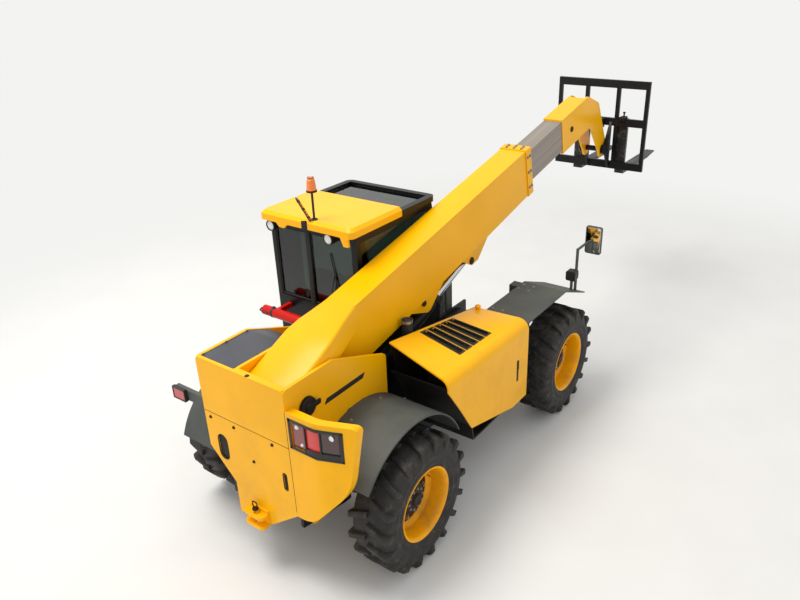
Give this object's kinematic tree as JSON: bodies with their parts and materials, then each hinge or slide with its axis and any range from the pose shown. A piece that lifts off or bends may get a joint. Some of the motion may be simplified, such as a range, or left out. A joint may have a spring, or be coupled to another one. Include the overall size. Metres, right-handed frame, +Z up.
{
  "type": "telehandler",
  "caption": "Telescopic handler with a side cab, four steered wheels, an offset lifting boom that extends, and a tilting fork carriage.",
  "frame": {"origin": "on the ground under the middle of the machine's length and width, with the boom as it rests", "axes": "+X forwards along the boom, +Y to the machine's left, +Z up"},
  "size_m": [7.843, 2.35, 3.1321],
  "materials": {
    "yellow_paint": "gloss machine enamel",
    "black_paint": "satin chassis enamel",
    "worn_steel": "slide rails dulled by grease",
    "chrome_rod": "hard chrome",
    "cast_block": "painted casting",
    "dark_plastic": "grained",
    "tyre_rubber": "dusty rubber",
    "window_glass": "tinted safety glass",
    "lamp_plastic": "red lens",
    "bottle_paint": "gloss red",
    "seat_cloth": "woven seat cloth"
  },
  "bodies": {
    "chassis": {"chassis_frame": "black_paint", "rear_tower": "yellow_paint", "rear_wing": "yellow_paint", "tow_hitch": "yellow_paint", "rear_lamps": "lamp_plastic", "engine_block": "cast_block", "engine_bay": "black_paint", "exhaust_stack": "dark_plastic", "fenders": "dark_plastic", "rear_guards": "dark_plastic", "front_axle": "black_paint", "rear_axle": "black_paint", "cab_plinth": "dark_plastic", "cab_tub": "black_paint", "cab_frame": "black_paint", "cab_roof": "yellow_paint", "cab_glass": "window_glass", "driver_seat": "seat_cloth", "steering_column": "dark_plastic", "work_lamps": "dark_plastic", "fire_extinguisher": "bottle_paint", "boom_pivot_pin": "worn_steel"},
    "bonnet": {"bonnet": "yellow_paint"},
    "door": {"cab_door": "black_paint", "door_glass": "window_glass"},
    "boom": {"outer_boom": "yellow_paint"},
    "boom_inner": {"inner_boom": "worn_steel", "boom_head": "yellow_paint"},
    "carriage": {"carriage": "black_paint", "forks": "black_paint"},
    "lift_barrel": {"lift_barrel": "black_paint"},
    "lift_rod": {"lift_rod": "chrome_rod"},
    "tilt_barrel": {"tilt_barrel": "black_paint"},
    "tilt_rod": {"tilt_rod": "chrome_rod"},
    "knuckle_front_left": {"knuckle_front_left": "black_paint"},
    "wheel_front_left": {"rim_front_left": "yellow_paint", "tyre_front_left": "tyre_rubber"},
    "knuckle_front_right": {"knuckle_front_right": "black_paint"},
    "wheel_front_right": {"rim_front_right": "yellow_paint", "tyre_front_right": "tyre_rubber"},
    "knuckle_rear_left": {"knuckle_rear_left": "black_paint"},
    "wheel_rear_left": {"rim_rear_left": "yellow_paint", "tyre_rear_left": "tyre_rubber"},
    "knuckle_rear_right": {"knuckle_rear_right": "black_paint"},
    "wheel_rear_right": {"rim_rear_right": "yellow_paint", "tyre_rear_right": "tyre_rubber"}
  },
  "joints": [
    {"name": "boom_lift", "type": "hinge", "parent": "chassis", "child": "boom", "pos_m": [-3.60147, -0.15, 1.64], "axis": [0, -1, 0], "range_deg": [-19, 58]},
    {"name": "boom_extend", "type": "slide", "parent": "boom", "child": "boom_inner", "axis": [0.9781, 0, 0.2079], "range_m": [-0.85, 2.15]},
    {"name": "carriage_tilt", "type": "hinge", "parent": "boom_inner", "child": "carriage", "pos_m": [2.45147, -0.15, 2.26207], "axis": [0, -1, 0], "range_deg": [-90, 20]},
    {"name": "lift_barrel_swing", "type": "hinge", "parent": "chassis", "child": "lift_barrel", "pos_m": [-3.33147, -0.15, 0.9], "axis": [0, -1, 0], "range_deg": [-18.04, 54.04]},
    {"name": "lift_rod_slide", "type": "slide", "parent": "lift_barrel", "child": "lift_rod", "axis": [0.9419, 0, 0.3359], "range_m": [-0.2407, 0.72451]},
    {"name": "tilt_barrel_swing", "type": "hinge", "parent": "boom_inner", "child": "tilt_barrel", "pos_m": [1.43183, -0.15, 2.73031], "axis": [0, -1, 0], "range_deg": [-9.76, 2.56]},
    {"name": "tilt_rod_slide", "type": "slide", "parent": "tilt_barrel", "child": "tilt_rod", "axis": [0.9922, 0, -0.1248], "range_m": [-0.10182, 0.44068]},
    {"name": "steer_front_left", "type": "hinge", "parent": "chassis", "child": "knuckle_front_left", "pos_m": [-0.28147, 0.8, 0.6], "axis": [0, 0, 1], "range_deg": [-30, 30]},
    {"name": "spin_front_left", "type": "hinge", "parent": "knuckle_front_left", "child": "wheel_front_left", "pos_m": [-0.28147, 0.975, 0.6], "axis": [0, 1, 0], "continuous": true},
    {"name": "steer_front_right", "type": "hinge", "parent": "chassis", "child": "knuckle_front_right", "pos_m": [-0.28147, -0.8, 0.6], "axis": [0, 0, 1], "range_deg": [-30, 30]},
    {"name": "spin_front_right", "type": "hinge", "parent": "knuckle_front_right", "child": "wheel_front_right", "pos_m": [-0.28147, -0.975, 0.6], "axis": [0, 1, 0], "continuous": true},
    {"name": "steer_rear_left", "type": "hinge", "parent": "chassis", "child": "knuckle_rear_left", "pos_m": [-3.03147, 0.8, 0.6], "axis": [0, 0, 1], "range_deg": [-30, 30]},
    {"name": "spin_rear_left", "type": "hinge", "parent": "knuckle_rear_left", "child": "wheel_rear_left", "pos_m": [-3.03147, 0.975, 0.6], "axis": [0, 1, 0], "continuous": true},
    {"name": "steer_rear_right", "type": "hinge", "parent": "chassis", "child": "knuckle_rear_right", "pos_m": [-3.03147, -0.8, 0.6], "axis": [0, 0, 1], "range_deg": [-30, 30]},
    {"name": "spin_rear_right", "type": "hinge", "parent": "knuckle_rear_right", "child": "wheel_rear_right", "pos_m": [-3.03147, -0.975, 0.6], "axis": [0, 1, 0], "continuous": true},
    {"name": "bonnet_open", "type": "hinge", "parent": "chassis", "child": "bonnet", "pos_m": [-2.53147, -0.44, 1.69], "axis": [-0.9837, 0, 0.1798], "range_deg": [0, 60]},
    {"name": "door_open", "type": "hinge", "parent": "chassis", "child": "door", "pos_m": [-2.03147, 1.134, 2.25], "axis": [0, 0, 1], "range_deg": [0, 80]}
  ],
  "couplings": [
    {"joint": "lift_barrel_swing", "follows": "boom_lift", "ratio": 0.92312},
    {"joint": "lift_rod_slide", "follows": "boom_lift", "m_per_rad": 0.71077},
    {"joint": "tilt_barrel_swing", "follows": "carriage_tilt", "ratio": 0.10286},
    {"joint": "tilt_rod_slide", "follows": "carriage_tilt", "m_per_rad": -0.27736},
    {"joint": "steer_front_right", "follows": "steer_front_left", "ratio": 1},
    {"joint": "steer_rear_right", "follows": "steer_rear_left", "ratio": 1}
  ]
}
